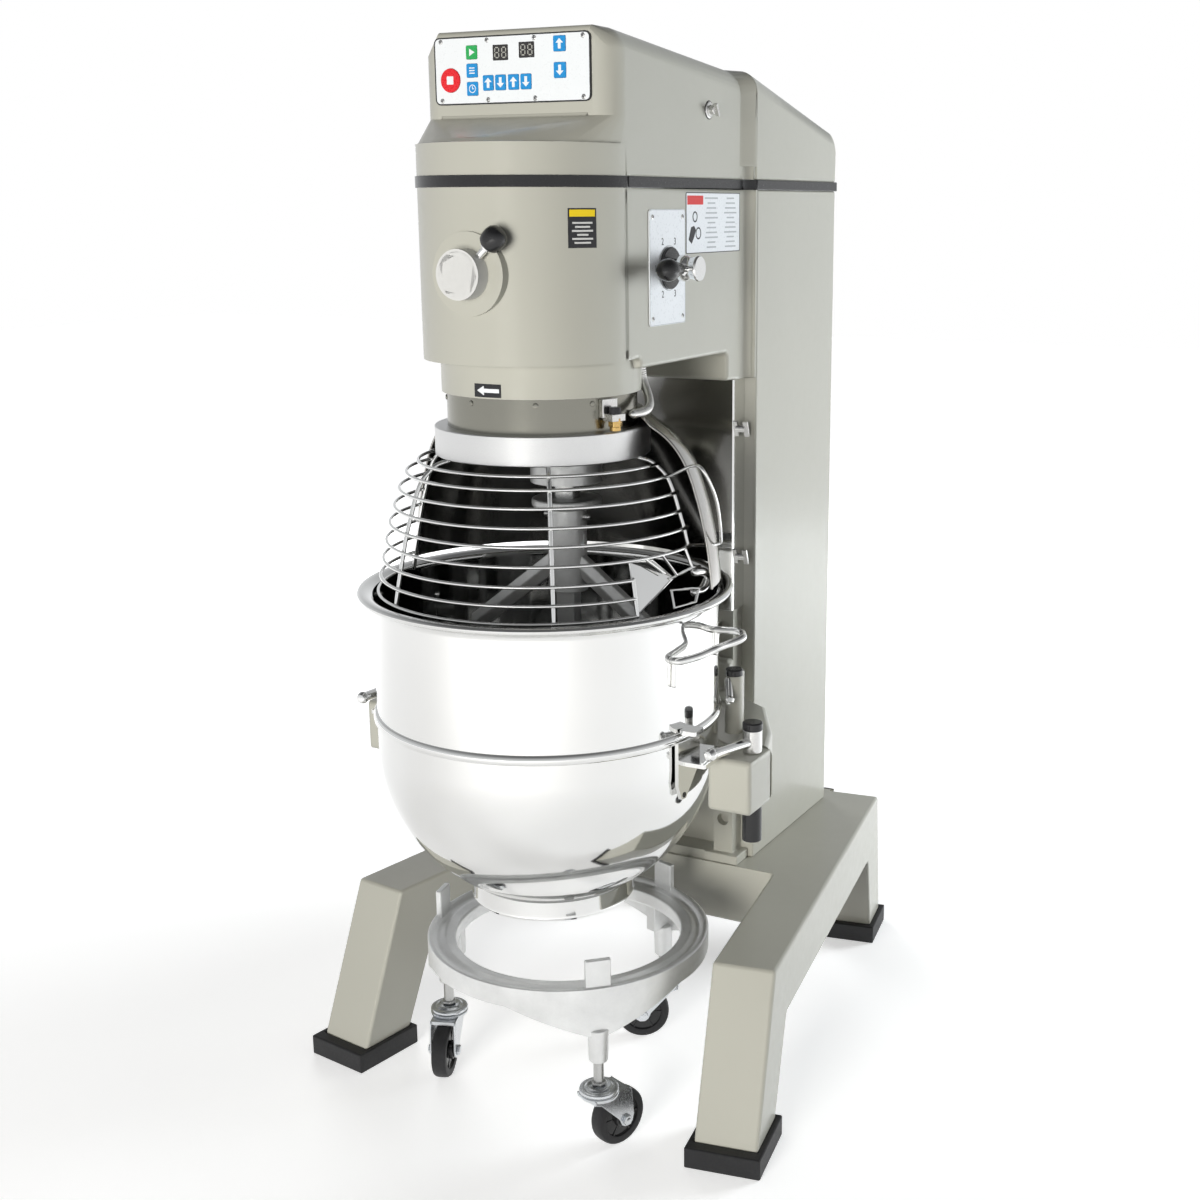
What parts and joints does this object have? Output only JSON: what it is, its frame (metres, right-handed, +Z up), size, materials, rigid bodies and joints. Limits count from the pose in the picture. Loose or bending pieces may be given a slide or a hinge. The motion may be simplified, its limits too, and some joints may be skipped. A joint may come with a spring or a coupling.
{
  "type": "commercial stand mixer",
  "caption": "Floor-standing planetary mixer with a splayed base, column, console hood, powered bowl lift, steel bowl, wire guard and castored bowl truck.",
  "frame": {"origin": "on the floor, under the centre of the whole machine's bounding box", "axes": "+Z up; -Y towards the front, where the operator stands; +X towards the side that carries the speed lever"},
  "size_m": [0.8158, 1.0767, 1.606],
  "materials": {
    "paint": "semi-gloss warm grey",
    "bright_steel": "polished stainless",
    "steel": "machined",
    "cast_aluminium": "as cast",
    "rubber": "matt black",
    "white_plate": "printed white plate",
    "black_plastic": "gloss black",
    "light_plastic": "light grey cap",
    "red_key": "red key",
    "green_key": "green key",
    "blue_key": "blue key",
    "motor_paint": "dark motor paint"
  },
  "bodies": {
    "frame": {"base_frame": "paint", "foot_pads": "rubber", "column_housing": "paint", "gearcase": "paint", "hood_front": "paint", "hood_rear": "paint", "hood_gasket": "rubber", "hood_latches": "bright_steel", "console_plate": "white_plate", "timer_displays": "black_plastic", "panel_screws": "bright_steel", "speed_plate": "white_plate", "hub_housing": "paint", "motor": "motor_paint", "drive_belt": "rubber", "internal_gear": "steel", "steel_band": "bright_steel", "rear_shield": "bright_steel", "guard_switch": "steel", "switch_conduit": "bright_steel", "slide_ways": "paint", "splash_panel": "bright_steel", "wing_nuts": "bright_steel", "lift_motor": "motor_paint", "bearings": "steel"},
    "carrier": {"planetary_carrier": "steel"},
    "agitator": {"agitator_shaft": "steel", "beater": "cast_aluminium"},
    "rotor": {"motor_rotor": "steel"},
    "input": {"input_shaft": "steel"},
    "guard": {"guard_ring": "cast_aluminium", "guard_cage": "bright_steel", "guard_chute": "bright_steel"},
    "bowl_lift": {"yoke": "paint", "bowl": "bright_steel", "bowl_handles": "bright_steel"},
    "screw": {"lift_screw": "steel"},
    "clamp_r": {"clamp_right": "bright_steel"},
    "clamp_l": {"clamp_left": "bright_steel"},
    "speed": {"speed_hub": "black_plastic", "speed_lever": "bright_steel"},
    "cap": {"hub_cap": "light_plastic"},
    "thumbscrew": {"hub_thumbscrew": "black_plastic"},
    "truck": {"truck_ring": "cast_aluminium"},
    "castor_front": {"fork_front": "steel"},
    "castor_left": {"fork_left": "steel"},
    "castor_rear": {"fork_rear": "steel"},
    "roller_front": {"wheel_front": "black_plastic"},
    "roller_left": {"wheel_left": "black_plastic"},
    "roller_rear": {"wheel_rear": "black_plastic"},
    "key_stop_button": {"stop_button": "red_key"},
    "key_start_button": {"start_button": "green_key"},
    "key_manual_button": {"manual_button": "blue_key"},
    "key_timer_button": {"timer_button": "blue_key"},
    "key_minutes_up": {"minutes_up": "blue_key"},
    "key_minutes_down": {"minutes_down": "blue_key"},
    "key_seconds_up": {"seconds_up": "blue_key"},
    "key_seconds_down": {"seconds_down": "blue_key"},
    "key_bowl_up": {"bowl_up": "blue_key"},
    "key_bowl_down": {"bowl_down": "blue_key"}
  },
  "joints": [
    {"name": "carrier_spin", "type": "hinge", "parent": "frame", "child": "carrier", "pos_m": [0, -0.26, 1.05], "axis": [0, 0, 1], "continuous": true},
    {"name": "agitator_spin", "type": "hinge", "parent": "carrier", "child": "agitator", "pos_m": [0, -0.198, 1], "axis": [0, 0, 1], "continuous": true},
    {"name": "input_spin", "type": "hinge", "parent": "frame", "child": "input", "pos_m": [0, -0.13, 1.3], "axis": [0, 0, 1], "continuous": true},
    {"name": "rotor_spin", "type": "hinge", "parent": "frame", "child": "rotor", "pos_m": [0, 0.27, 1.3], "axis": [0, 0, 1], "continuous": true},
    {"name": "guard_swing", "type": "hinge", "parent": "frame", "child": "guard", "pos_m": [0, -0.26, 1.04], "axis": [0, 0, 1], "range_deg": [-110, 0]},
    {"name": "bowl_lift_slide", "type": "slide", "parent": "frame", "child": "bowl_lift", "axis": [0, 0, 1], "range_m": [-0.09, 0]},
    {"name": "screw_spin", "type": "hinge", "parent": "frame", "child": "screw", "pos_m": [0, 0.093, 0.5], "axis": [0, 0, 1], "range_deg": [-5400, 0]},
    {"name": "clamp_right_turn", "type": "hinge", "parent": "bowl_lift", "child": "clamp_r", "pos_m": [0.322, -0.22, 0.6], "axis": [0, 0, 1], "range_deg": [0, 100]},
    {"name": "clamp_left_turn", "type": "hinge", "parent": "bowl_lift", "child": "clamp_l", "pos_m": [-0.322, -0.22, 0.6], "axis": [0, 0, 1], "range_deg": [-100, 0]},
    {"name": "speed_turn", "type": "hinge", "parent": "frame", "child": "speed", "pos_m": [0.1565, -0.1634, 1.2846], "axis": [1, 0, 0], "range_deg": [-120, 120]},
    {"name": "cap_pull", "type": "slide", "parent": "frame", "child": "cap", "axis": [0, -1, 0], "range_m": [0, 0.06]},
    {"name": "thumbscrew_turn", "type": "hinge", "parent": "frame", "child": "thumbscrew", "pos_m": [0, -0.451, 1.283], "axis": [0.7314, 0, 0.682], "continuous": true},
    {"name": "stop_button_press", "type": "slide", "parent": "frame", "child": "key_stop_button", "axis": [0, 1, 0], "range_m": [0, 0.0006], "stiffness_N_per_m": 400},
    {"name": "start_button_press", "type": "slide", "parent": "frame", "child": "key_start_button", "axis": [0, 1, 0], "range_m": [0, 0.0006], "stiffness_N_per_m": 400},
    {"name": "manual_button_press", "type": "slide", "parent": "frame", "child": "key_manual_button", "axis": [0, 1, 0], "range_m": [0, 0.0006], "stiffness_N_per_m": 400},
    {"name": "timer_button_press", "type": "slide", "parent": "frame", "child": "key_timer_button", "axis": [0, 1, 0], "range_m": [0, 0.0006], "stiffness_N_per_m": 400},
    {"name": "minutes_up_press", "type": "slide", "parent": "frame", "child": "key_minutes_up", "axis": [0, 1, 0], "range_m": [0, 0.0006], "stiffness_N_per_m": 400},
    {"name": "minutes_down_press", "type": "slide", "parent": "frame", "child": "key_minutes_down", "axis": [0, 1, 0], "range_m": [0, 0.0006], "stiffness_N_per_m": 400},
    {"name": "seconds_up_press", "type": "slide", "parent": "frame", "child": "key_seconds_up", "axis": [0, 1, 0], "range_m": [0, 0.0006], "stiffness_N_per_m": 400},
    {"name": "seconds_down_press", "type": "slide", "parent": "frame", "child": "key_seconds_down", "axis": [0, 1, 0], "range_m": [0, 0.0006], "stiffness_N_per_m": 400},
    {"name": "bowl_up_press", "type": "slide", "parent": "frame", "child": "key_bowl_up", "axis": [0, 1, 0], "range_m": [0, 0.0006], "stiffness_N_per_m": 400},
    {"name": "bowl_down_press", "type": "slide", "parent": "frame", "child": "key_bowl_down", "axis": [0, 1, 0], "range_m": [0, 0.0006], "stiffness_N_per_m": 400},
    {"name": "truck_roll", "type": "slide", "parent": "frame", "child": "truck", "axis": [0, -1, 0], "range_m": [0, 0.65]},
    {"name": "castor_front_swivel", "type": "hinge", "parent": "truck", "child": "castor_front", "pos_m": [0.15952, -0.40135, 0.1], "axis": [0, 0, 1], "continuous": true},
    {"name": "wheel_front_spin", "type": "hinge", "parent": "castor_front", "child": "roller_front", "pos_m": [0.17149, -0.36846, 0.044], "axis": [-0.9397, 0.342, 0], "continuous": true},
    {"name": "castor_left_swivel", "type": "hinge", "parent": "truck", "child": "castor_left", "pos_m": [-0.18407, -0.29302, 0.1], "axis": [0, 0, 1], "continuous": true},
    {"name": "wheel_left_spin", "type": "hinge", "parent": "castor_left", "child": "roller_left", "pos_m": [-0.1721, -0.32591, 0.044], "axis": [0.9397, 0.342, 0], "continuous": true},
    {"name": "castor_rear_swivel", "type": "hinge", "parent": "truck", "child": "castor_rear", "pos_m": [0.08155, -0.04963, 0.1], "axis": [0, 0, 1], "continuous": true},
    {"name": "wheel_rear_spin", "type": "hinge", "parent": "castor_rear", "child": "roller_rear", "pos_m": [0.05155, -0.06765, 0.044], "axis": [0.515, -0.8572, 0], "continuous": true}
  ],
  "couplings": [
    {"joint": "agitator_spin", "follows": "carrier_spin", "ratio": -2.3478},
    {"joint": "input_spin", "follows": "carrier_spin", "ratio": -2.0952},
    {"joint": "rotor_spin", "follows": "carrier_spin", "ratio": -4.1905},
    {"joint": "screw_spin", "follows": "bowl_lift_slide", "rad_per_m": 1047.2}
  ]
}
